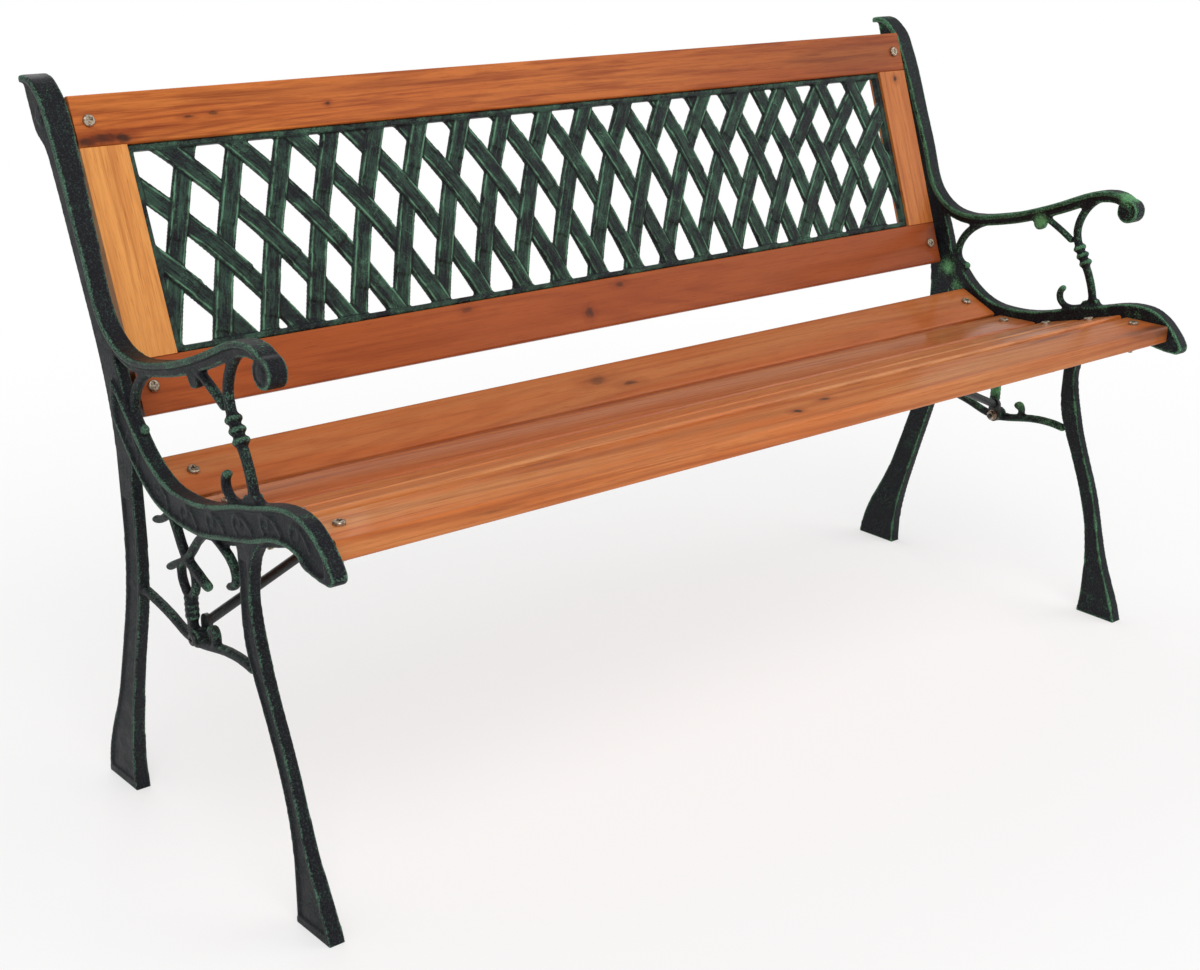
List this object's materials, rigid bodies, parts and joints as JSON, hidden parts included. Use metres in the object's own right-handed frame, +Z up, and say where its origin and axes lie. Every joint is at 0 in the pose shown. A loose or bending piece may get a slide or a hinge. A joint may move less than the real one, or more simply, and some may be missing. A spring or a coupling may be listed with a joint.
{
  "type": "garden bench",
  "caption": "Two-seat garden bench: scrolled cast end frames with arms, varnished timber seat slats and back rails, and a woven cast lattice back panel.",
  "frame": {"origin": "centre of the bench on the ground, midway between its ends and between its front-most and back-most points", "axes": "+X to the sitter's left end seen from the front (the viewer's right), +Y to the back, +Z up"},
  "size_m": [1.22, 0.5219, 0.7232],
  "materials": {
    "painted_casting": "sand-cast surface brushed with satin blue-black paint, verdigris green dry-brushed on the edges and raised lines",
    "painted_rod": "satin black paint over round bar",
    "varnished_rail": "red-brown stained hardwood under glossy varnish",
    "varnished_stile": "yellow-orange hardwood under glossy varnish, grain running up",
    "varnished_slat": "orange-brown hardwood with dark knots under glossy varnish",
    "zinc": "bright zinc plate"
  },
  "bodies": {
    "root": {"right_end_casting": "painted_casting", "left_end_casting": "painted_casting", "lattice_panel": "painted_casting", "top_back_rail": "varnished_rail", "lower_back_rail": "varnished_rail", "right_back_stile": "varnished_stile", "left_back_stile": "varnished_stile", "rear_seat_slat": "varnished_slat", "second_seat_slat": "varnished_slat", "third_seat_slat": "varnished_slat", "fourth_seat_slat": "varnished_slat", "front_seat_slat": "varnished_slat", "right_brace_rod": "painted_rod", "left_brace_rod": "painted_rod", "seat_bolts": "zinc", "seat_washers": "zinc", "seat_nuts": "zinc", "back_bolts": "zinc", "back_washers": "zinc", "back_nuts": "zinc", "brace_bolts": "painted_rod", "brace_washers": "zinc", "brace_nuts": "zinc", "brace_screws": "zinc"}
  },
  "joints": []
}
